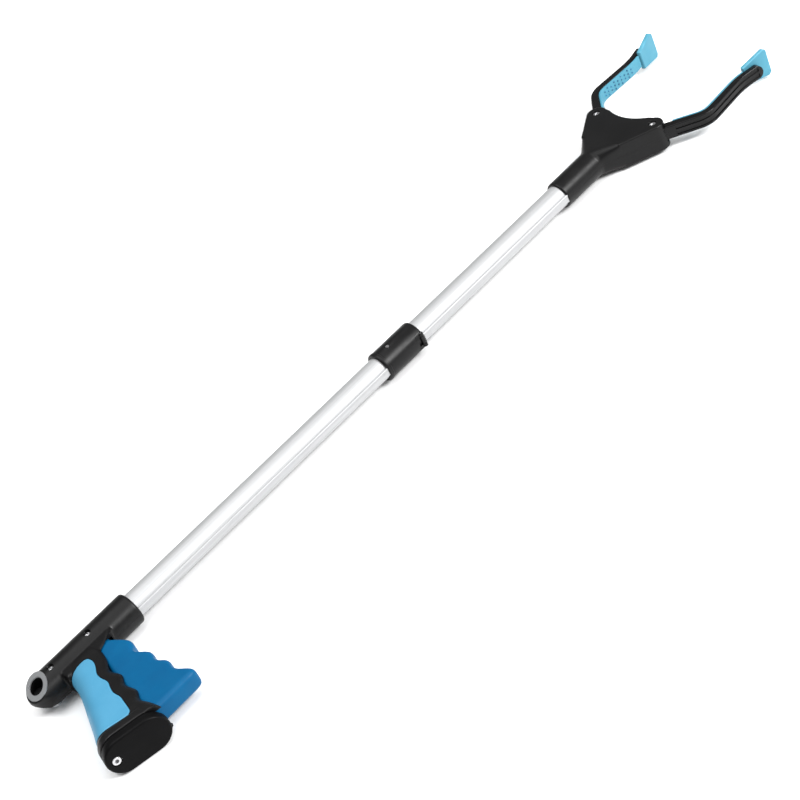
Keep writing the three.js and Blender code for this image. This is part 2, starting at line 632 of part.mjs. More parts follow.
const head = union(sleeve, headNeck(), prism(headOutline(0), -HEAD_HALF, HEAD_HALF, 1.6))
  .subtract(tubeSocket(SLEEVE[0] - 1, TUBE_2[1] + GAP))
  .subtract(headCavity)
  .subtract(jawScrewHoles(2 + GAP, -10.6, 20))
  .subtract(jawScrewHoles(3.5, 10, 20));
add('head_shell_left', head.subtract(box([590, -80, -60], [760, 80, GAP / 2])), BLACK());
add('head_shell_right', head.subtract(box([590, -80, -GAP / 2], [760, 80, 60])), BLACK());

// ---- jaws ----
// Middle line of one arm with rounded bends, from the pivot to the tip.
function armLine(side) {
  let heading = JAW_OPEN;
  const corners = [[PX, PY]];
  JAW_LENGTHS.forEach((length, i) => {
    const [x, y] = corners.at(-1);
    corners.push([x + length * Math.cos(rad(heading)), y + length * Math.sin(rad(heading))]);
    heading -= JAW_BENDS[i] ?? 0;
  });
  const bend = 13;
  const path = new THREE.Path();
  path.moveTo(...corners[0]);
  for (let i = 1; i < corners.length - 1; i += 1) {
    const toward = (a, b) => {
      const length = Math.hypot(b[0] - a[0], b[1] - a[1]);
      return [a[0] + (b[0] - a[0]) * bend / length, a[1] + (b[1] - a[1]) * bend / length];
    };
    path.lineTo(...toward(corners[i], corners[i - 1]));
    path.quadraticCurveTo(...corners[i], ...toward(corners[i], corners[i + 1]));
  }
  path.lineTo(...corners.at(-1));
  return path.getSpacedPoints(40).map((p) => [p.x, p.y * side]);
}

// Half thickness of the arm in the plane of the jaws, t from 0 at the pivot to 1 at the tip.
function armHalf(t) {
  return 4.3 - 1.5 * t - 0.4 * Math.sin(Math.PI * t);
}

// Outline between two offsets of the middle line; inner and outer are functions of t.
function ribbon(side, from, to, outer, inner) {
  const line = armLine(side);
  const last = line.length - 1;
  const top = [];
  const bottom = [];
  for (let i = Math.round(from * last); i <= Math.round(to * last); i += 1) {
    const a = line[Math.max(0, i - 1)];
    const b = line[Math.min(last, i + 1)];
    const length = Math.hypot(b[0] - a[0], b[1] - a[1]);
    const normal = [-(b[1] - a[1]) / length * side, (b[0] - a[0]) / length * side];
    const t = i / last;
    top.push([line[i][0] + normal[0] * outer(t), line[i][1] + normal[1] * outer(t)]);
    bottom.push([line[i][0] + normal[0] * inner(t), line[i][1] + normal[1] * inner(t)]);
  }
  return [...top, ...bottom.reverse()];
}

// A frame at the tip: u outward along the arm, n towards the other jaw.
function onTip(geometry, side) {
  const line = armLine(side);
  const tip = line.at(-1);
  const before = line.at(-4);
  const length = Math.hypot(tip[0] - before[0], tip[1] - before[1]);
  const u = new THREE.Vector3((tip[0] - before[0]) / length, (tip[1] - before[1]) / length, 0);
  const n = new THREE.Vector3(u.y * side, -u.x * side, 0);
  const across = new THREE.Vector3().crossVectors(n, u);
  const place = new THREE.Matrix4().makeBasis(u, across, n);
  place.setPosition(tip[0], tip[1], 0);
  return solid(geometry.applyMatrix4(place));
}

function paddle(side) {
  const shape = new THREE.Shape([[-22, -8.6], [1.6, -13], [4.6, -10.8], [4.6, 10.8], [1.6, 13],
    [-22, 8.6]].map(([u, z]) => new THREE.Vector2(u, z)));
  const plate = new THREE.ExtrudeGeometry(shape,
    { depth: 2.4, bevelEnabled: true, bevelSize: 1, bevelOffset: -1, bevelThickness: 1, bevelSegments: 2 });
  plate.translate(0, 0, armHalf(1) + GAP + 1);
  return onTip(plate, side);
}

function jaw(side, label) {
  const pivot = [PX, PY * side];
  const leverTip = turn([PX, (PY - JAW_LEVER) * side], leverAngle * side, pivot);
  const outline = ribbon(side, 0, 1, armHalf, (t) => -armHalf(t));
  const root = union(
    prism(outline, -ARM_HALF_HEIGHT, ARM_HALF_HEIGHT, 0.8),
    rodZ(5.6, -7.2, 7.2, pivot),
    prism([[PX - 2.6, (PY - 1) * side], [leverTip[0] - 2.4, leverTip[1]],
      [leverTip[0], leverTip[1] - 2.2 * side], [leverTip[0] + 2.4, leverTip[1]],
      [PX + 3.2, (PY - 1) * side]], -5.4, 5.4),
  );
  const yokeRoom = prism([[-9, -2.9], [1, -2.9], [9, 1.6], [9, -14],
    [-9, -14]].map(([x, y]) => [PX + x, (PY + y) * side]), -2.5, 2.5);
  const arm = union(root.subtract(yokeRoom), rodZ(1.1, -3.4, 3.4, leverTip, 16)).subtract(rodZ(2 + GAP,
    -20, 20, pivot));
  add(`jaw_arm_${label}`, arm, GLOSS_BLACK());

  const inside = (t) => -armHalf(t) - GAP;
  const liner = prism(ribbon(side, 0.13, 0.8, inside, (t) => inside(t) - LINER_THICKNESS),
    -ARM_HALF_HEIGHT + 0.3, ARM_HALF_HEIGHT - 0.3);
  const tipPaddle = paddle(side);
  add(`jaw_liner_${label}`, liner, JAW_BLUE());
  add(`jaw_paddle_${label}`, tipPaddle, JAW_BLUE());
  add(`jaw_screw_${label}`, screw(3.2, 2, -10.3, 10 + GAP, 11.2, pivot), STEEL());
  add(`jaw_spring_${label}`, ringSpring(3.3, 0.35, 7.6, pivot, [-3.2 * side, -8.6 * side]), STEEL());
  return leverTip;
}
const leverAngle = JAW_TRAVEL / 2;
const upperTip = jaw(1, 'upper');
jaw(-1, 'lower');

// ---- yoke: a cross bar between the two jaw levers, on the end of the cord ----
const YOKE_END = upperTip[1] + 2.7;
const yokeHalf = [[upperTip[0] - 18, 3.4], [upperTip[0] - 12, 9], [upperTip[0] - 3.2, YOKE_END],
  [upperTip[0] + 3, YOKE_END],
  [upperTip[0] + 3, 19.5], [HEAD_FRONT - 5, 15], [HEAD_FRONT - 6.5, 3]];
const yokeBar = prism([...yokeHalf, ...mirrored(yokeHalf).reverse()], -2, 2, 0.5);
const pinSlot = (side) => prism(ellipse([upperTip[0], upperTip[1] * side], [1.1 + 0.35, 1.1 + 0.8], 20),
  -5, 5);
const yoke = union(yokeBar, rodX(3, 664, upperTip[0] - 12)).subtract(pinSlot(1)).subtract(pinSlot(-1))
  .subtract(rodX(CORD_R + GAP, 660, 672));
add('yoke', yoke, GLOSS_BLACK());
add('pull_cord_front', cordAlong([[404, CORD_Y], [430, CORD_Y], [500, CORD_Y * 0.7], [600, CORD_Y * 0.2],
  [650, 0], [671, 0]], 20), CORD());

// ---- origin: middle of the footprint ----
const extent = new THREE.Box3().setFromObject(group);
const middle = extent.getCenter(new THREE.Vector3());
group.position.set(-middle.x, -middle.y, -extent.min.z);
group.updateMatrixWorld(true);

export default group;
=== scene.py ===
import json
import math

import bmesh
import bpy
import numpy as np
from mathutils import Matrix, Vector


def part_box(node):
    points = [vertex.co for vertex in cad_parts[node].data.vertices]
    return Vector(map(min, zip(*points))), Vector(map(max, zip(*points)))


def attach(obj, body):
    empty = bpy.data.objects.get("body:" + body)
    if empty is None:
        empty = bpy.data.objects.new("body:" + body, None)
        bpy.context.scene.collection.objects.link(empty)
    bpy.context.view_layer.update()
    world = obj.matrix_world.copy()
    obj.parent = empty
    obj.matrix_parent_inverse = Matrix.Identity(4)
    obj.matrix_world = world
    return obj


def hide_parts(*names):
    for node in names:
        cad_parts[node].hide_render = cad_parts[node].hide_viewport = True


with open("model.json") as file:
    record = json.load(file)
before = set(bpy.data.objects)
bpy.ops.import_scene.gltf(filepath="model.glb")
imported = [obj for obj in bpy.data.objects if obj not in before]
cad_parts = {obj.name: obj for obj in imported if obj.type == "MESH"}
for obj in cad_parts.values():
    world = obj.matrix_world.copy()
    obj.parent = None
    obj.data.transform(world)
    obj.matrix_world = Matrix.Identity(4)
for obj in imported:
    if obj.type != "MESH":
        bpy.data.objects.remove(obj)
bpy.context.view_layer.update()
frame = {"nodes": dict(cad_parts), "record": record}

# ---- where the layout's zero is in the row frame ----
TUBE_R = 10.2
TUBE_1 = (76, 392)
TUBE_2 = (418.3, 640)
_low, _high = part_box("tube_rear")
ORIGIN = np.array([_low.x * 1000 - TUBE_1[0], _high.y * 1000 - TUBE_R, (_low.z + _high.z) * 500])

# ---- camera ----
IMAGE_RIGHT = Vector((0.65893, -0.65622, -0.36767))
IMAGE_UP = Vector((0.64530, 0.24199, 0.72458))
camera = bpy.data.objects.new("camera", bpy.data.cameras.new("camera"))
camera.data.lens = 85.4
camera.data.sensor_width = 36
camera.data.clip_end = 30
camera.matrix_world = Matrix((
    (IMAGE_RIGHT.x, IMAGE_UP.x, -0.38651, (-213.55 + ORIGIN[0]) / 1000),
    (IMAGE_RIGHT.y, IMAGE_UP.y, -0.71471, (-1094.74 + ORIGIN[1]) / 1000),
    (IMAGE_RIGHT.z, IMAGE_UP.z, 0.58292, (855.18 + ORIGIN[2]) / 1000),
    (0, 0, 0, 1),
))
bpy.context.scene.collection.objects.link(camera)
bpy.context.scene.camera = camera
bpy.context.scene.view_settings.view_transform = "Standard"

# ---- dimensions, as in the CAD ----
GAP = 0.3
BARREL_R = 13.65
BARREL_START = -2.5
BARREL_END = 99.5
SCREW_PIT_R = 3.1
REAR_SCREW = (24, -0.8)
EYELET = (8.4, 0.6)
EYELET_HOLE = (5.9, 7.6)
EYELET_RIM = (9.4, 12)
RIM_THICKNESS = 0.9
WEDGE_TIP = 1.6
WEDGE_FRONT = 18.5
TRIGGER_PIVOT = (60, -1.6)
TRIGGER_TRAVEL = 17.5
CORD_LEVER = 10.4
TRIGGER_HALF = 8.2
LEVER_HALF = 4.4
SLOT_HALF = 9.1
BASE_TILT = 14.6
BASE_CENTRE = (16.1, -115.6)
BASE_LENGTH = 52
BASE_WIDTH = 30
CAP_HEIGHT = 8.2
BAND_HEIGHT = 7
PANEL_DEPTH = 1.9
TUBE_WALL = 1.3
RAIL_HALF = 3.5
RAIL_REACH = 11.6
COLLAR = (374.8, 417.8)
COLLAR_R = 13.2
COLLAR_MOUTH_R = 11.7
RIVET = (388.7, -2.5)
RIVET_HOLE_R = 1.8
FOLD_AXIS = (416, -11.7)
FOLD_PIN_R = 0.9
NOTCH_HALF = 3.9
EAR_OUTER = 6.4
EAR_R = 1.9
SLEEVE = (601.3, 646)
SLEEVE_R = 12.4
HEAD_HALF = 12
HEAD_CAVITY_HALF = 8
PX, PY = 697.1, 32.4
LOBE_R = 9.3
HEAD_FRONT = 698.9
JAW_OPEN = 45.5
JAW_TRAVEL = 30.3
JAW_LENGTHS = (46, 49.5, 30)
JAW_BENDS = (49, -17.5)
ARM_HALF_HEIGHT = 6.2
LINER_THICKNESS = 1.7
JAW_LEVER = CORD_LEVER * math.sin(math.radians(TRIGGER_TRAVEL / 2)) / math.sin(math.radians(JAW_TRAVEL / 2))


# ---- mesh helpers, all in millimetres ----
def from_data(verts, faces):
    mesh = bpy.data.meshes.new("shape")
    mesh.from_pydata([tuple(map(float, v)) for v in verts], [], faces)
    mesh.validate()
    ob = bpy.data.objects.new("shape", mesh)
    bpy.context.scene.collection.objects.link(ob)
    return ob


def skin(rings):
    """Quads between rings of equal counts, with an n-gon at each end."""
    count = len(rings[0])
    verts = [p for ring in rings for p in ring]
    faces = []
    for k in range(len(rings) - 1):
        for i in range(count):
            j = (i + 1) % count
            faces.append((k * count + i, k * count + j, (k + 1) * count + j, (k + 1) * count + i))
    faces.append(tuple(reversed(range(count))))
    faces.append(tuple((len(rings) - 1) * count + i for i in range(count)))
    ob = from_data(verts, faces)
    outward(ob)
    return ob


def outward(ob):
    bm = bmesh.new()
    bm.from_mesh(ob.data)
    bmesh.ops.recalc_face_normals(bm, faces=bm.faces)
    bm.to_mesh(ob.data)
    bm.free()


def turned(profile, sides=96, axis="x", centre=(0, 0)):
    """Profile of (along, radius) turned about X (centre is y, z) or Z (centre is x, y)."""
    rings = []
    for along, radius in profile:
        ring = []
        for i in range(sides):
            a = 2 * math.pi * i / sides
            p, q = centre[0] + radius * math.cos(a), centre[1] + radius * math.sin(a)
            ring.append((along, p, q) if axis == "x" else (p, q, along))
        rings.append(ring)
    return skin(rings)


def rod_z(radius, z0, z1, centre, sides=48):
    return turned([(z0, radius), (z1, radius)], sides, "z", centre)


def rod_x(radius, x0, x1, y=0, z=0, sides=96):
    return turned([(x0, radius), (x1, radius)], sides, "x", (y, z))


def block(low, high):
    (x0, y0, z0), (x1, y1, z1) = low, high
    return skin([[(x, y0, z0), (x, y1, z0), (x, y1, z1), (x, y0, z1)] for x in (x0, x1)])


def inset(outline, distance):
    """The outline moved inwards, whichever way it runs."""
    p = np.array(outline, float)
    before, after = np.roll(p, 1, 0), np.roll(p, -1, 0)
    area = np.sum(p[:, 0] * after[:, 1] - after[:, 0] * p[:, 1])
    e0 = p - before
    e1 = after - p
    e0 /= np.linalg.norm(e0, axis=1)[:, None]
    e1 /= np.linalg.norm(e1, axis=1)[:, None]
    n0 = np.stack([-e0[:, 1], e0[:, 0]], 1) * np.sign(area)
    n1 = np.stack([-e1[:, 1], e1[:, 0]], 1) * np.sign(area)
    n = n0 + n1
    n /= np.maximum(np.sum(n * n0, axis=1), 0.35 * np.linalg.norm(n, axis=1))[:, None]
    return (p + n * distance).tolist()


def prism(outline, z0, z1, bevel=0, steps=4):
    """An outline in XY from z0 to z1, its two edges rounded to radius bevel."""
    if bevel:
        quarter = [math.pi / 2 * i / steps for i in range(steps + 1)]
        levels = [(z0 + bevel * (1 - math.cos(a)), bevel * (1 - math.sin(a))) for a in quarter]
        levels += [(z1 - (z - z0), d) for z, d in reversed(levels)]
    else:
        levels = [(z0, 0), (z1, 0)]
    return skin([[(x, y, z) for x, y in (inset(outline, d) if d else outline)] for z, d in levels])


def ellipse(centre, radii, sides=72):
    angles = [2 * math.pi * i / sides for i in range(sides)]
    return [(centre[0] + radii[0] * math.cos(a), centre[1] + radii[1] * math.sin(a)) for a in angles]


def smooth(points, steps):
    """A Catmull-Rom line through a few points."""
    p = np.array(points, float)
    p = np.vstack([p[0], p, p[-1]])
    line = []
    last = len(points) - 1
    for k in range(steps + 1):
        s = min(k / steps * last, last - 1e-9)
        i = int(s)
        t = s - i
        a, b, c, d = p[i], p[i + 1], p[i + 2], p[i + 3]
        if i == 0:
            a = b
        if i == last - 1:
            d = c
        v0, v1 = (c - a) / 2, (d - b) / 2
        cubic, square = 2 * b - 2 * c + v0 + v1, -3 * b + 3 * c - 2 * v0 - v1
        line.append((cubic * t ** 3 + square * t ** 2 + v0 * t + b).tolist())
    return line


def turn(point, degrees, centre):
    c, s = math.cos(math.radians(degrees)), math.sin(math.radians(degrees))
    x, y = point[0] - centre[0], point[1] - centre[1]
    return centre[0] + c * x - s * y, centre[1] + s * x + c * y


def applied(ob):
    """The object's mesh with its modifiers applied."""
    graph = bpy.context.evaluated_depsgraph_get()
    mesh = bpy.data.meshes.new_from_object(ob.evaluated_get(graph))
    ob.modifiers.clear()
    ob.data = mesh
    return ob


def combine(ob, others, operation):
    for other in others:
        modifier = ob.modifiers.new("boolean", "BOOLEAN")
        modifier.operation = operation
        modifier.solver = "EXACT"
        modifier.object = other
        applied(ob)
        bpy.data.objects.remove(other)
    return ob


def union(ob, *others):
    return combine(ob, others, "UNION")


def cut(ob, *others):
    return combine(ob, others, "DIFFERENCE")


def common(ob, *others):
    return combine(ob, others, "INTERSECT")


def fused(ob, voxel, rounds, factor=0.5):
    """Even quads over the whole form, with its edges and joins rounded as in a moulding."""
    remesh = ob.modifiers.new("remesh", "REMESH")
    remesh.mode = "VOXEL"
    remesh.voxel_size = voxel
    soften = ob.modifiers.new("soften", "SMOOTH")
    soften.iterations = rounds
    soften.factor = factor
    return applied(ob)


def copy(ob):
    twin = ob.copy()
    twin.data = ob.data.copy()
    bpy.context.scene.collection.objects.link(twin)
    return twin


def halved(ob, side):
    """The part of ob on one side of the parting plane, closed there."""
    bm = bmesh.new()
    bm.from_mesh(ob.data)
    got = bmesh.ops.bisect_plane(bm, geom=bm.verts[:] + bm.edges[:] + bm.faces[:], dist=1e-5,
                                 plane_co=(0, 0, side * GAP / 4), plane_no=(0, 0, -side), clear_outer=True)
    rim = [g for g in got["geom_cut"] if isinstance(g, bmesh.types.BMEdge)]
    bmesh.ops.holes_fill(bm, edges=rim, sides=0)
    bmesh.ops.triangulate(bm, faces=[f for f in bm.faces if len(f.verts) > 4])
    twin = from_data([], [])
    bm.to_mesh(twin.data)
    bm.free()
    return twin


def put(ob, name, body, material, nodes=(), angle=35):
    """Sets a finished shape in the row frame: its name, body, finish and the CAD nodes that it stands for."""
    ob.name = name
    ob.data.name = name
    ob.data.transform(Matrix.Translation(Vector(ORIGIN / 1000)) @ Matrix.Scale(0.001, 4))
    ob.data.materials.clear()
    ob.data.materials.append(material)
    for polygon in ob.data.polygons:
        polygon.use_smooth = True
        polygon.material_index = 0
    if angle:
        ob.data.set_sharp_from_angle(angle=math.radians(angle))
    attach(ob, body)
    if nodes:
        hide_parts(*nodes)
    return ob


# ---- materials ----
class Finish:
    """A Principled material under construction, with the few node patterns that the pieces share."""

    def __init__(self, name, roughness, metallic=0.0, specular=0.5):
        self.material = bpy.data.materials.new(name)
        self.material.use_nodes = True
        self.tree = self.material.node_tree
        self.shader = self.tree.nodes["Principled BSDF"]
        self.shader.inputs["Metallic"].default_value = metallic
        self.shader.inputs["Roughness"].default_value = roughness
        self.shader.inputs["Specular IOR Level"].default_value = specular
        self.place = self.node("ShaderNodeTexCoord").outputs["Object"]

    def node(self, kind, **settings):
        made = self.tree.nodes.new(kind)
        for key, value in settings.items():
            setattr(made, key, value)
        return made

    def link(self, a, b):
        self.tree.links.new(a, b)

    def scaled(self, scale):
        mapping = self.node("ShaderNodeMapping")
        mapping.inputs["Scale"].default_value = scale
        self.link(self.place, mapping.inputs["Vector"])
        return mapping.outputs["Vector"]

    def noise(self, scale, detail=3, roughness=0.5, vector=None):
        tex = self.node("ShaderNodeTexNoise")
        tex.inputs["Scale"].default_value = scale
        tex.inputs["Detail"].default_value = detail
        tex.inputs["Roughness"].default_value = roughness
        self.link(vector or self.place, tex.inputs["Vector"])
        return tex.outputs["Fac"]

    def span(self, value, low, high, to_low, to_high):
        remap = self.node("ShaderNodeMapRange")
        for key, number in (("From Min", low), ("From Max", high), ("To Min", to_low), ("To Max", to_high)):
            remap.inputs[key].default_value = number
        self.link(value, remap.inputs["Value"])
        return remap.outputs["Result"]

    def mix(self, factor, a, b):
        blend = self.node("ShaderNodeMix", data_type="RGBA")
        self.link(factor, blend.inputs["Factor"])
        for socket, value in ((blend.inputs[6], a), (blend.inputs[7], b)):
            if hasattr(value, "is_output"):
                self.link(value, socket)
            else:
                socket.default_value = (*value, 1)
        return blend.outputs[2]

    def colour(self, value):
        self.link(value, self.shader.inputs["Base Color"])
        return self

    def rough(self, value):
        self.link(value, self.shader.inputs["Roughness"])
        return self

    def bump(self, height, strength, distance):
        made = self.node("ShaderNodeBump")
        made.inputs["Strength"].default_value = strength
        made.inputs["Distance"].default_value = distance
        self.link(height, made.inputs["Height"])
        self.link(made.outputs["Normal"], self.shader.inputs["Normal"])
        return self

    def edges(self, low=0.52, high=0.62):
        """0 on flats, 1 on convex edges, broken into patches: the mask of a painted edge highlight."""
        pointed = self.span(self.node("ShaderNodeNewGeometry").outputs["Pointiness"], low, high, 0, 1)
        patches = self.span(self.noise(160, 4), 0.35, 0.7, 0.15, 1)
        product = self.node("ShaderNodeMath", operation="MULTIPLY")
        self.link(pointed, product.inputs[0])
        self.link(patches, product.inputs[1])
        return product.outputs[0]


def black_plastic(name, dark, light, roughness, grain_scale, grain, edge_highlight, specular=0.2):
    f = Finish(name, roughness, specular=specular)
    mottle = f.mix(f.span(f.noise(45, 3), 0.3, 0.7, 0, 1), dark, light)
    # painted highlight: convex edges take the lighter edge colour
    f.colour(f.mix(f.edges(), mottle, edge_highlight))
    f.rough(f.span(f.noise(110, 4), 0.3, 0.7, roughness - 0.05, roughness + 0.07))
    f.bump(f.noise(grain_scale, 2), grain, 0.00012)
    return f.material


def soft_blue(name, base, deep, roughness, edge_highlight, grain=0.12, specular=0.35):
    f = Finish(name, roughness, specular=specular)
    mottle = f.mix(f.span(f.noise(60, 3), 0.3, 0.7, 0, 1), base, deep)
    # painted highlight: convex edges take the lighter edge colour
    f.colour(f.mix(f.edges(0.53, 0.66), mottle, edge_highlight))
    f.rough(f.span(f.noise(90, 4), 0.3, 0.7, roughness - 0.06, roughness + 0.08))
    f.bump(f.noise(2600, 2), grain, 0.0001)
    return f.material


def metal(name, base, streaked, roughness, stretch, grain, metallic=1.0):
    f = Finish(name, roughness, metallic)
    streaks = f.noise(1, 4, 0.6, f.scaled(stretch))
    f.colour(f.mix(f.span(streaks, 0.3, 0.7, 0, 1), base, streaked))
    f.rough(f.span(streaks, 0.3, 0.7, roughness - 0.06, roughness + 0.08))
    f.bump(streaks, grain, 0.00005)
    return f.material


# the lighter edge colour given to each plastic finish is a painted highlight along its convex edges
SHELL_BLACK = black_plastic("moulded_black", (0.0025, 0.0025, 0.0027), (0.004, 0.004, 0.0042),
                            0.36, 2600, 0.22, (0.014, 0.014, 0.0145))
CAP_BLACK = black_plastic("cap_black", (0.0015, 0.0015, 0.0017), (0.0025, 0.0025, 0.0027),
                          0.42, 2600, 0.22, (0.01, 0.01, 0.0105), 0.07)
GLOSS_BLACK = black_plastic("gloss_black", (0.002, 0.002, 0.0022), (0.003, 0.003, 0.0032),
                            0.24, 1200, 0.06, (0.012, 0.012, 0.0125))
GRIP_BLUE = soft_blue("grip_blue", (0.060, 0.255, 0.410), (0.050, 0.235, 0.385), 0.46, (0.13, 0.36, 0.54))
TRIGGER_BLUE = soft_blue("trigger_blue", (0.0005, 0.086, 0.205), (0.0003, 0.074, 0.185), 0.42,
                         (0.006, 0.13, 0.28), specular=0.12)
JAW_BLUE = soft_blue("jaw_blue", (0.060, 0.245, 0.335), (0.052, 0.225, 0.315), 0.5, (0.12, 0.38, 0.50))
DOT_BLUE = soft_blue("dot_blue", (0.014, 0.085, 0.150), (0.012, 0.078, 0.140), 0.45, (0.08, 0.36, 0.62))
ALUMINIUM = metal("satin_aluminium", (0.43, 0.434, 0.44), (0.385, 0.39, 0.395), 0.58,
                  (6, 900, 900), 0.25, 0.55)
STEEL = metal("plated_steel", (0.62, 0.62, 0.63), (0.5, 0.5, 0.51), 0.28, (300, 300, 300), 0.1)
TRIM_GREY = metal("trim_grey", (0.42, 0.43, 0.44), (0.36, 0.37, 0.38), 0.32, (220, 220, 220), 0.1, 0.7)


def braided():
    f = Finish("braided_cord", 0.75)
    weave = f.node("ShaderNodeTexWave", wave_type="BANDS", bands_direction="DIAGONAL")
    weave.inputs["Scale"].default_value = 900
    weave.inputs["Distortion"].default_value = 2
    f.link(f.place, weave.inputs["Vector"])
    f.colour(f.mix(weave.outputs["Fac"], (0.02, 0.02, 0.021), (0.06, 0.06, 0.062)))
    f.bump(weave.outputs["Fac"], 0.4, 0.0002)
    return f.material


CORD = braided()

NODE_FINISH = {
    "yoke": GLOSS_BLACK, "pull_cord_rear": CORD, "pull_cord_front": CORD,
    "jaw_spring_upper": STEEL, "jaw_spring_lower": STEEL,
}
SLOT_FINISH = {
    "black_plastic": SHELL_BLACK, "gloss_black": GLOSS_BLACK, "light_blue_grip": GRIP_BLUE,
    "deep_blue_plastic": TRIGGER_BLUE, "jaw_blue": JAW_BLUE, "aluminium": ALUMINIUM, "steel": STEEL,
    "grey_trim": TRIM_GREY, "cord": CORD,
}
node_slot = {part["node"]: part["material_slot"] for part in frame["record"]["subparts"]}
for name, node in frame["nodes"].items():
    node.data.materials.clear()
    node.data.materials.append(NODE_FINISH.get(name, SLOT_FINISH[node_slot[name]]))

# ---- handle: two moulded halves ----
GRIP_REAR = smooth(((27, -6), (25.2, -19.6), (22, -33.5), (16.7, -47.4), (9.2, -64.5), (2.7, -79.5),
                    (-2.6, -91.3), (-5.8, -103), (-7, -116)), 120)
GRIP_FRONT = smooth(((58, -6), (57.2, -20), (53.6, -34), (47.4, -47), (49.3, -59.5), (44.6, -70),
                     (45.6, -83), (41.2, -93), (43.4, -104), (45, -116)), 120)
GRIP_TOP = -8
GRIP_HEIGHT = 107.1
GRIP_BACK_R = 15
GRIP_CORNER_R = 7


def edge_at(line, y):
    xs, ys = zip(*line)
    return float(np.interp(-y, [-value for value in ys], xs))


def grip_half(y):
    slim = 1 - min(1, max(0, (-8 - y) / 22))
    return 12.2 + 2.2 * min(1, max(0, (-15 - y) / 90)) - 3.2 * slim * slim


def grip_ring(y, depth):
    """One section of the grip: round over the back of the hand, small corners at the front."""
    rear, front, half = edge_at(GRIP_REAR, y) + depth, edge_at(GRIP_FRONT, y) - depth, grip_half(y) - depth
    ring = []
    for i in range(33):
        a = math.pi / 2 + math.pi * i / 32
        c, s = math.cos(a), math.sin(a)
        ring.append((rear + GRIP_BACK_R * (1 - abs(c) ** 0.84), y, math.copysign(half * abs(s) ** 0.84, s)))
    for sign in (-1, 1):
        for i in range(9):
            a = (-math.pi / 2 if sign < 0 else 0) + math.pi / 2 * i / 8
            x = front - GRIP_CORNER_R * (1 - math.cos(a))
            ring.append((x, y, sign * (half - GRIP_CORNER_R) + GRIP_CORNER_R * math.sin(a)))
    return ring


def grip(depth, step=1.5):
    return skin([grip_ring(GRIP_TOP - i * step, depth) for i in range(int(GRIP_HEIGHT / step) + 1)])


def on_base(ob):
    """From the base's own frame, u along it and h up into the grip, to the layout."""
    c, s = math.cos(math.radians(BASE_TILT)), math.sin(math.radians(BASE_TILT))
    x, y = BASE_CENTRE
    ob.data.transform(Matrix(((c, 0, s, x), (-s, 0, c, y), (0, -1, 0, 0), (0, 0, 0, 1))))
    outward(ob)
    return ob


def stadium(h0, h1, bevel):
    half, radius = (BASE_LENGTH - BASE_WIDTH) / 2, BASE_WIDTH / 2
    line = []
    for side in (1, -1):
        for i in range(33):
            a = math.pi * i / 32 - math.pi / 2
            line.append((side * (half + radius * math.cos(a)), side * radius * math.sin(a)))
    return on_base(prism(line, h0, h1, bevel))


def above_wedge(lift, side):
    """The room outside one sloped rear face."""
    slope = (BARREL_R - WEDGE_TIP) / (WEDGE_FRONT - BARREL_START)
    z0, z1 = (WEDGE_TIP + slope * (x - BARREL_START) + lift for x in (-30, 60))
    section = ((-30, z0), (60, z1), (60, 80), (-30, 80))
    return skin([[(x, y, side * z) for x, z in section] for y in (-40, 40)])


def wedge_room(side):
    rim = ellipse(EYELET, (EYELET_RIM[0] + GAP, EYELET_RIM[1] + GAP))
    return common(above_wedge(-RIM_THICKNESS - GAP, side), prism(rim, -20, 20))


def railed(radius, reach, half, x0, x1, sides=96):
    """A rod with a flat rail along its underside."""
    first = math.asin(half / radius)
    section = [(-radius * math.cos(a), radius * math.sin(a))
               for a in np.linspace(first, 2 * math.pi - first, sides)]
    section += [(0.5 - reach, -half), (-reach, 0.5 - half), (-reach, half - 0.5), (0.5 - reach, half)]
    return skin([[(x, y, z) for y, z in section] for x in (x0, x1)])


PAD_TOP = smooth(((16, -21.4), (28, -20.6), (36, -19.8), (42.6, -20.2)), 12)
PAD_FRONT = smooth(((45, -22.4), (45.2, -29.5), (42.6, -36.5), (38.8, -43.5), (38, -51), (38.2, -58.5),
                    (35.6, -65.5), (33.8, -72), (34, -80), (32.3, -87.5), (30.6, -94.5), (29, -99),
                    (25.6, -101.4)), 72)
PAD_OUTLINE = [*PAD_TOP, *PAD_FRONT, (8.8, -95.6), (-20, -85)]

barrel = turned([(BARREL_START, 0.1), (BARREL_START, BARREL_R), (BARREL_END - 1.6, BARREL_R),
                 (BARREL_END - 0.5, BARREL_R - 0.5), (BARREL_END, BARREL_R - 1.6), (BARREL_END, 0.1)])
END_CENTRE = 12
end_oval = ellipse((END_CENTRE, 0), (END_CENTRE - BARREL_START, BARREL_R + 0.01), 120)
end_line = [(x, y) for x, y in end_oval if x < END_CENTRE]
end_line += [(END_CENTRE, -15), (120, -15), (120, 15), (END_CENTRE, 15)]
barrel_room = copy(barrel)
common(barrel, prism(end_line, -20, 20))
neck_line = ((23, 4), (24.6, -8), (25.2, -20), (56, -23.5), (61.5, -21.2), (70, -15.4), (75.5, -10.6),
             (79, 4))
neck = prism(neck_line, -9.8, 9.8, 3)
handle = union(barrel, neck, cut(grip(0), on_base(block((-100, -40, -60), (100, 40, CAP_HEIGHT + GAP)))),
               stadium(CAP_HEIGHT + GAP, CAP_HEIGHT + GAP + BAND_HEIGHT, 0))
cut(handle, above_wedge(0, 1), above_wedge(0, -1))
fused(handle, voxel=0.6, rounds=6)
pad_room = cut(prism(PAD_OUTLINE, -20, 20), grip(PANEL_DEPTH + GAP), barrel_room)
slot_line = ((46, -12), (2.4, -98.5), (-1.4, -112), (12, -140), (90, -140), (90, -14.2), (69, -14.2),
             (63, -12))
lever_line = ((50, -24), (52.6, 2.6), (57, 4.6), (63, 4.6), (66.8, 0), (70.5, -13), (70.5, -24))
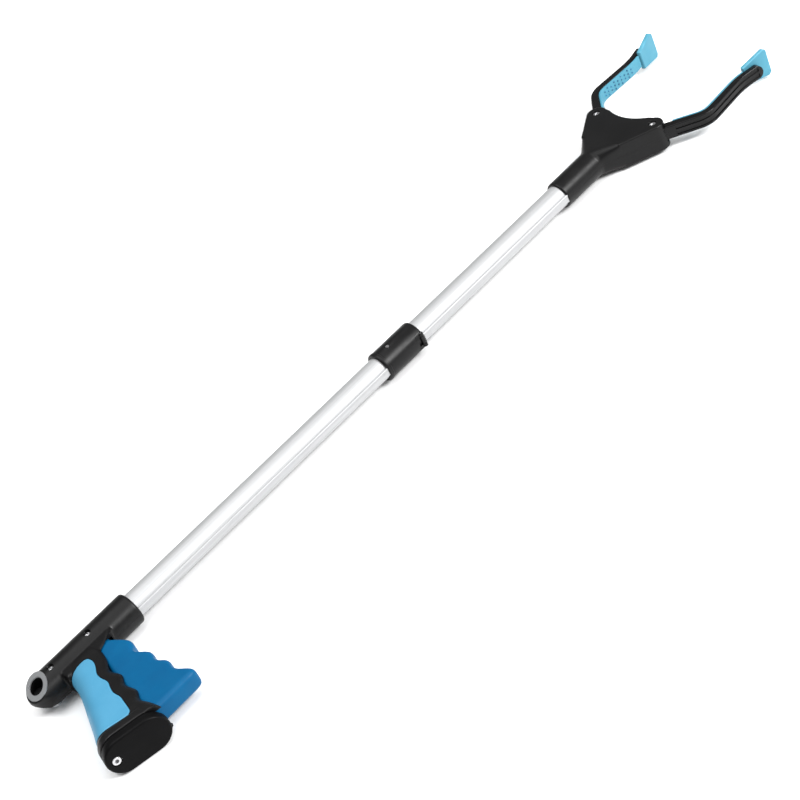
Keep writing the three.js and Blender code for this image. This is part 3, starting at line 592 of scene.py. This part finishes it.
for cutter in (
    wedge_room(1), wedge_room(-1), prism(ellipse(EYELET, EYELET_HOLE), -20, 20),
    railed(TUBE_R + GAP, RAIL_REACH + GAP, RAIL_HALF + GAP, TUBE_1[0] - GAP, 120),
    prism(slot_line, -SLOT_HALF, SLOT_HALF), prism(lever_line, -LEVER_HALF - 0.5, LEVER_HALF + 0.5), pad_room,
    rod_z(2.3, -11.6, 20, TRIGGER_PIVOT), rod_z(SCREW_PIT_R, 9.8, 20, TRIGGER_PIVOT),
    rod_z(1.8, -9.6, 20, REAR_SCREW), rod_z(SCREW_PIT_R, 9.8, 20, REAR_SCREW),
):
    cut(handle, cutter)
for side, label in ((1, "left"), (-1, "right")):
    half = halved(handle, side)
    put(half, f"handle_{label}", "handle", SHELL_BLACK, (f"handle_shell_{label}",))
bpy.data.objects.remove(handle)

# ---- blue panel round the grip ----
panel = common(grip(0), prism(inset(PAD_OUTLINE, GAP), -20, 20))
cut(panel, turned([(-5, BARREL_R + GAP), (100, BARREL_R + GAP)]))
fused(panel, voxel=0.45, rounds=8)
cut(panel, grip(PANEL_DEPTH))
put(panel, "panel", "handle", GRIP_BLUE, ("grip_panel",))

# ---- grey rims of the hanging hole ----
for side, label in ((1, "left"), (-1, "right")):
    ring = prism(ellipse(EYELET, EYELET_RIM), -20, 20)
    common(ring, above_wedge(-RIM_THICKNESS, side))
    cut(ring, above_wedge(0.25, side), prism(ellipse(EYELET, EYELET_HOLE), -20, 20))
    common(ring, prism(end_line, -20, 20))
    put(ring, f"eyelet_rim_{label}", "handle", TRIM_GREY, (f"eyelet_trim_{label}",))


# ---- screws ----
def screw(name, nodes, body, head_r, shaft_r, z_low, z_head, z_top, centre):
    edge = 0.5
    profile = [(z_low, shaft_r), (z_head, shaft_r), (z_head, head_r), (z_top - edge, head_r),
               (z_top, head_r - edge)]
    ob = turned(profile, 64, "z", centre)
    cut(ob, rod_z(head_r * 0.5, z_top - 0.9, z_top + 1, centre, 6))
    put(ob, name, body, STEEL, nodes)


screw("pivot_screw", ("trigger_pivot_screw",), "handle", head_r=2.8, shaft_r=2, z_low=-11.3, z_head=10.1,
      z_top=11.6, centre=TRIGGER_PIVOT)
screw("rear_screw", ("handle_rear_screw",), "handle", head_r=2.8, shaft_r=1.5, z_low=-9.3, z_head=10.1,
      z_top=11.6, centre=REAR_SCREW)

# ---- base cap ----
CAP_SCREW = (-18, 0)
cap = stadium(0, CAP_HEIGHT, 1.8)
cut(cap, on_base(rod_z(3.9, -1, 4, CAP_SCREW)), on_base(rod_z(1.9, -1, 20, CAP_SCREW)))
put(cap, "cap", "handle", CAP_BLACK, ("base_cap",))
cap_screw = turned([(0.3, 3.1), (0.7, 3.6), (3.7, 3.6), (3.7, 1.6), (7.9, 1.6)], 64, "z", CAP_SCREW)
cut(cap_screw, rod_z(1.8, -1, 2.2, CAP_SCREW, 6))
put(on_base(cap_screw), "cap_screw", "handle", STEEL, ("base_cap_screw",))

# ---- trigger ----
TRIGGER_FRONT = smooth(((65.6, -15.2), (70.4, -23), (74.6, -33.4), (73.4, -40), (69.6, -46.5), (75.4, -59.5),
                        (72.9, -70), (76.7, -79.8), (74.6, -91), (80.4, -103.4), (79.4, -109),
                        (74, -110.4)), 110)
TRIGGER_REAR = smooth(((42, -110), (37.6, -106.5), (40.4, -84), (44.4, -60), (48.6, -40), (53, -22),
                       (58, -15.2)), 40)
nipple = turn((TRIGGER_PIVOT[0], TRIGGER_PIVOT[1] - CORD_LEVER), TRIGGER_TRAVEL / 2, TRIGGER_PIVOT)
trigger = prism([*TRIGGER_FRONT, *TRIGGER_REAR], -TRIGGER_HALF, TRIGGER_HALF, bevel=4, steps=6)
fused(trigger, voxel=0.6, rounds=40)
union(trigger, rod_z(4.6, -LEVER_HALF, LEVER_HALF, TRIGGER_PIVOT),
      prism(((55.6, -2), (64.4, -2), (67.6, -12), (66.4, -24), (55, -24)), -LEVER_HALF, LEVER_HALF))
cut(trigger, rod_z(2.3, -20, 20, TRIGGER_PIVOT), rod_z(2.35, -3, 3, nipple),
    block((nipple[0] - 0.5, nipple[1] - 2.6, -1.6), (80, nipple[1] + 6, 1.6)))
put(trigger, "squeeze_trigger", "trigger", TRIGGER_BLUE, ("trigger",))

# ---- tubes and collar ----
rear_tube = railed(TUBE_R, RAIL_REACH, RAIL_HALF, *TUBE_1)
cut(rear_tube, rod_x(TUBE_R - TUBE_WALL, 0, 500), rod_z(RIVET_HOLE_R, -20, 20, RIVET))
put(rear_tube, "rear_tube", "handle", ALUMINIUM, ("tube_rear",))
front_tube = cut(railed(TUBE_R, RAIL_REACH, RAIL_HALF, *TUBE_2), rod_x(TUBE_R - TUBE_WALL, 0, 700))
put(front_tube, "front_tube", "front", ALUMINIUM, ("tube_front",))

collar = turned([(COLLAR[0], COLLAR_R - 1.1), (COLLAR[0] + 0.5, COLLAR_R - 0.3), (COLLAR[0] + 1.2, COLLAR_R),
                 (COLLAR[0] + 3.4, COLLAR_R), (COLLAR[0] + 3.8, COLLAR_R - 0.35),
                 (COLLAR[1] - 1.6, COLLAR_R - 0.35), (COLLAR[1] - 0.5, COLLAR_R - 0.7),
                 (COLLAR[1], COLLAR_R - 1.4)], 160)
cut(collar, railed(TUBE_R + GAP, RAIL_REACH + GAP, RAIL_HALF + GAP, COLLAR[0] - 1, TUBE_1[1] + GAP),
    rod_x(COLLAR_MOUTH_R, COLLAR[1] - 26, COLLAR[1] + 10))
for side in (1, -1):
    z0, z1 = sorted((NOTCH_HALF * side, EAR_OUTER * side))
    foot = block((FOLD_AXIS[0] - 6, -11.75, z0), (FOLD_AXIS[0], -9.8, z1))
    union(collar, rod_z(EAR_R, z0, z1, FOLD_AXIS), foot)
cut(collar, block((COLLAR[1] - 7.5, -20, -NOTCH_HALF), (COLLAR[1] + 6, 0, NOTCH_HALF)),
    rod_z(FOLD_PIN_R + GAP, -EAR_OUTER - 1, EAR_OUTER + 1, FOLD_AXIS), rod_z(RIVET_HOLE_R, -20, 20, RIVET))
put(collar, "collar", "handle", SHELL_BLACK, ("fold_collar",))

# ---- head: two moulded halves ----
HEAD_FLAT_START = 664
FLANK_END = (PX + LOBE_R * math.cos(math.radians(118)), PY + LOBE_R * math.sin(math.radians(118)))


def flank_half(x):
    return 14.6 + (FLANK_END[1] - 14.6) * (x - 652) / (FLANK_END[0] - 652)


lobe = [(PX + LOBE_R * math.cos(a), PY + LOBE_R * math.sin(a)) for a in np.radians(np.linspace(118, -32, 31))]
front = [(HEAD_FRONT + 6.2 * (y / (PY - 8)) ** 2, y) for y in np.linspace(PY - 10, 10 - PY, 25)]
head_line = [(HEAD_FLAT_START, flank_half(HEAD_FLAT_START)), *lobe, *front,
             *[(x, -y) for x, y in reversed(lobe)], (HEAD_FLAT_START, -flank_half(HEAD_FLAT_START))]
rings = []
for x in np.linspace(SLEEVE[1] - 3, HEAD_FLAT_START + 2, 24):
    t = max(0.0, (x - SLEEVE[1]) / (HEAD_FLAT_START + 2 - SLEEVE[1]))
    width = max(SLEEVE_R, flank_half(x))
    height = SLEEVE_R + (HEAD_HALF - SLEEVE_R) * t
    power = 1 - 0.82 * t ** 0.7
    ring = []
    for i in range(96):
        c, s = math.cos(2 * math.pi * i / 96), math.sin(2 * math.pi * i / 96)
        y, z = width * math.copysign(abs(c) ** power, c), height * math.copysign(abs(s) ** power, s)
        ring.append((x, y, z))
    rings.append(ring)
sleeve = turned([(SLEEVE[0], SLEEVE_R - 0.8), (SLEEVE[0] + 0.8, SLEEVE_R), (SLEEVE[1], SLEEVE_R)])
head = union(sleeve, skin(rings), prism(head_line, -HEAD_HALF, HEAD_HALF, 1))
fused(head, voxel=0.6, rounds=4)
bay = ((656, -7), (PX - 14, 2 - PY), (PX - 8, 2 - PY), (PX - 8, -17), (HEAD_FRONT - 1.6, -17),
       (HEAD_FRONT - 2.4, 0), (HEAD_FRONT - 1.6, 17), (PX - 8, 17), (PX - 8, PY - 2), (PX - 14, PY - 2),
       (656, 7))
open_c, open_s = math.cos(math.radians(JAW_OPEN)), math.sin(math.radians(JAW_OPEN))
arm_exit = (PX - 4.9 * open_s, PY + 4.9 * open_c)
arm_room = (arm_exit, (arm_exit[0] + 36 * open_c, arm_exit[1] + 36 * open_s), (PX + 50, PY), (PX + 50, 17),
            (PX - 8.5, 17), (PX - 8.5, PY - 2))
for cutter in (
    railed(TUBE_R + GAP, RAIL_REACH + GAP, RAIL_HALF + GAP, SLEEVE[0] - 1, TUBE_2[1] + GAP),
    prism(bay, -HEAD_CAVITY_HALF, HEAD_CAVITY_HALF), prism(arm_room, -HEAD_CAVITY_HALF, HEAD_CAVITY_HALF),
    prism([(x, -y) for x, y in arm_room], -HEAD_CAVITY_HALF, HEAD_CAVITY_HALF),
    rod_x(6.5, TUBE_2[1] - 2, 664),
    *[rod_z(r, z0, z1, (PX, PY * side)) for side in (1, -1)
      for r, z0, z1 in ((6.2, -HEAD_CAVITY_HALF, HEAD_CAVITY_HALF), (2.3, -10.6, 20), (3.5, 10, 20))],
):
    cut(head, cutter)
for side, label in ((1, "left"), (-1, "right")):
    put(halved(head, side), f"head_{label}", "front", SHELL_BLACK, (f"head_shell_{label}",))
bpy.data.objects.remove(head)


# ---- jaws: places along an arm are shares of its length, 0 at the pivot and 1 at the tip ----
ARM_STEPS = 80
ARM_BEND = 9
ARM_END = 0.945
GROOVE_SPAN = (0.14, 0.91)
LINER_SPAN = (0.13, 0.818)
DOTS_START = 0.42
DOT_STEP = 0.036
DOT_ROWS = 9


def arm_line(side):
    """Middle line of one arm with rounded bends, from the pivot to the tip."""
    heading, corners = JAW_OPEN, [np.array((PX, PY))]
    for i, length in enumerate(JAW_LENGTHS):
        a = math.radians(heading)
        corners.append(corners[-1] + length * np.array((math.cos(a), math.sin(a))))
        heading -= JAW_BENDS[i] if i < len(JAW_BENDS) else 0
    line = [corners[0]]
    for before, corner, after in zip(corners, corners[1:], corners[2:]):
        start = corner + (before - corner) * ARM_BEND / np.linalg.norm(before - corner)
        end = corner + (after - corner) * ARM_BEND / np.linalg.norm(after - corner)
        line += [(1 - t) ** 2 * start + 2 * t * (1 - t) * corner + t * t * end for t in np.linspace(0, 1, 13)]
    line.append(corners[-1])
    line = np.array(line)
    run = np.concatenate(([0], np.cumsum(np.linalg.norm(np.diff(line, axis=0), axis=1))))
    even = np.linspace(0, run[-1], ARM_STEPS + 1)
    return np.stack([np.interp(even, run, line[:, 0]), np.interp(even, run, line[:, 1]) * side], 1)


def arm_half(t):
    return 4.3 - 1.5 * t - 0.4 * math.sin(math.pi * t)


def beside(side, t, offset):
    """A point at a share t of the arm's length, offset outward from its middle line."""
    line = arm_line(side)
    k = min(max(t * ARM_STEPS, 0), ARM_STEPS)
    i = int(min(k, ARM_STEPS - 1))
    p = line[i] + (line[i + 1] - line[i]) * (k - i)
    a, b = line[max(0, i - 1)], line[min(ARM_STEPS, i + 2)]
    d = (b - a) / np.linalg.norm(b - a)
    return p + np.array((-d[1], d[0])) * side * offset


def ribbon(side, t0, t1, outer, inner, steps=60):
    """The outline between two offsets of the middle line; outer and inner are functions of t."""
    ts = np.linspace(t0, t1, steps)
    there = [tuple(beside(side, t, outer(t))) for t in ts]
    back = [tuple(beside(side, t, inner(t))) for t in reversed(ts)]
    return there + back


def liner_back(t):
    return -arm_half(t) - GAP


def liner_face(t):
    return liner_back(t) - LINER_THICKNESS


def dot(side, t, z):
    """A low stud on the liner's face."""
    near, far = beside(side, t, liner_face(t) + 0.5), beside(side, t, liner_face(t) - 0.7)
    out = (far - near) / np.linalg.norm(far - near)
    along = np.array((-out[1], out[0]))
    rings = []
    for point, r in ((near, 0.85), (near * 0.2 + far * 0.8, 0.8), (far, 0.4)):
        angles = np.linspace(0, 2 * math.pi, 17)[:-1]
        rings.append([(*(point + along * r * math.cos(a)), z + r * math.sin(a)) for a in angles])
    return skin(rings)


def joined(obs, into):
    """Several separate shapes as one object."""
    bm = bmesh.new()
    for ob in obs:
        bm.from_mesh(ob.data)
    bm.to_mesh(into.data)
    bm.free()
    for ob in obs:
        if ob is not into:
            bpy.data.objects.remove(ob)
    return into


for side, label in ((1, "upper"), (-1, "lower")):
    body = f"jaw_{label}"
    pivot = (PX, PY * side)
    lever_tip = turn((PX, (PY - JAW_LEVER) * side), JAW_TRAVEL / 2 * side, pivot)
    arm_outline = ribbon(side, 0, ARM_END, arm_half, lambda t: -arm_half(t))
    arm = prism(arm_outline, -ARM_HALF_HEIGHT, ARM_HALF_HEIGHT, 0.9)
    for z0, z1 in ((-4.1, -1.1), (1.1, 4.1)):
        cut(arm, prism(ribbon(side, *GROOVE_SPAN, lambda t: 8, lambda t: arm_half(t) - 0.9), z0, z1))
    tip_x, tip_y = lever_tip
    lever = ((PX - 2.6, (PY - 1) * side), (tip_x - 2.4, tip_y), (tip_x, tip_y - 2.2 * side),
             (tip_x + 2.4, tip_y), (PX + 3.2, (PY - 1) * side))
    yoke_room = [(PX + x, (PY + y) * side) for x, y in ((-9, -2.9), (1, -2.9), (9, 1.6), (9, -14), (-9, -14))]
    union(arm, rod_z(5.6, -7.2, 7.2, pivot), prism(lever, -5.4, 5.4))
    cut(arm, prism(yoke_room, -2.5, 2.5))
    union(arm, rod_z(1.1, -3.4, 3.4, lever_tip))
    line = arm_line(side)
    end = line[-1]
    u = (end - line[-7]) / np.linalg.norm(end - line[-7])
    n = np.array((u[1], -u[0])) * side
    tip_frame = Matrix(((u[0], 0, n[0], end[0]), (u[1], 0, n[1], end[1]), (0, 1, 0, 0), (0, 0, 0, 1)))
    round_at, r = -13.2, ARM_HALF_HEIGHT
    arc = [(round_at + r * math.cos(a), r * math.sin(a)) for a in np.linspace(math.pi / 2, -math.pi / 2, 17)]
    tip_room = prism([(round_at, 6.8), *arc, (round_at, -6.8), (2, -6.8), (2, 6.8)], -9, 9)
    tip_room.data.transform(tip_frame)
    outward(tip_room)
    cut(arm, rod_z(2.3, -20, 20, pivot), tip_room)
    put(arm, f"arm_{label}", body, GLOSS_BLACK, (f"jaw_arm_{label}",))

    liner_outline = ribbon(side, *LINER_SPAN, liner_back, liner_face)
    liner = prism(liner_outline, 0.3 - ARM_HALF_HEIGHT, ARM_HALF_HEIGHT - 0.3, 0.5, 2)
    put(liner, f"liner_{label}", body, JAW_BLUE, (f"jaw_liner_{label}",))
    dots = []
    for row in range(DOT_ROWS):
        for z in (-3.6, 0, 3.6) if row % 2 else (-1.8, 1.8):
            dots.append(dot(side, DOTS_START + DOT_STEP * row, z))
    put(joined(dots, dots[0]), f"dots_{label}", body, DOT_BLUE)

    paddle = prism([(-22, -8.6), (1.6, -13), (4.6, -10.8), (4.6, 10.8), (1.6, 13), (-22, 8.6)], 0, 4.4, 1, 4)
    paddle.data.transform(tip_frame @ Matrix.Translation((0, 0, arm_half(1) + GAP)))
    outward(paddle)
    put(paddle, f"paddle_{label}", body, JAW_BLUE, (f"jaw_paddle_{label}",))
    screw(f"jaw_pin_{label}", (f"jaw_screw_{label}",), "front", head_r=3.2, shaft_r=2, z_low=-10.3,
          z_head=10.3, z_top=11.2, centre=pivot)


# ---- floor and light ----
def plane(name, size, z):
    half = size / 2
    ob = from_data([(-half, -half, z), (half, -half, z), (half, half, z), (-half, half, z)], [(0, 1, 2, 3)])
    ob.name = name
    return ob


floor_finish = Finish("floor", 0.8, specular=0.2)
floor_finish.colour(floor_finish.mix(floor_finish.noise(3, 2), (0.93, 0.93, 0.93), (0.95, 0.95, 0.95)))
floor = plane("floor", 30, -0.0002)
floor.data.materials.append(floor_finish.material)


def soft_light(name, toward, distance, size, power, colour=(1, 1, 1)):
    """A square soft light, aimed at the middle of the object from a direction."""
    light = bpy.data.lights.new(name, "AREA")
    light.shape = "RECTANGLE"
    light.size, light.size_y = size
    light.energy = power
    light.color = colour
    ob = bpy.data.objects.new(name, light)
    direction = Vector(toward).normalized()
    ob.location = direction * distance
    ob.rotation_mode = "QUATERNION"
    ob.rotation_quaternion = direction.to_track_quat("Z", "Y")
    bpy.context.scene.collection.objects.link(ob)


BACK = IMAGE_RIGHT.cross(IMAGE_UP)
soft_light("key", (0.40, -0.73, 0.60), 3, (1.1, 1.1), 125)
soft_light("fill", BACK * 0.6 - IMAGE_RIGHT * 0.8 + IMAGE_UP * 0.5, 2.8, (1.5, 1.5), 32)
soft_light("overhead", (0, 0, 1), 2.8, (3, 3), 56)

world = bpy.data.worlds.new("world")
world.use_nodes = True
world.node_tree.nodes["Background"].inputs["Color"].default_value = (1, 1, 1, 1)
world.node_tree.nodes["Background"].inputs["Strength"].default_value = 0.32
bpy.context.scene.world = world
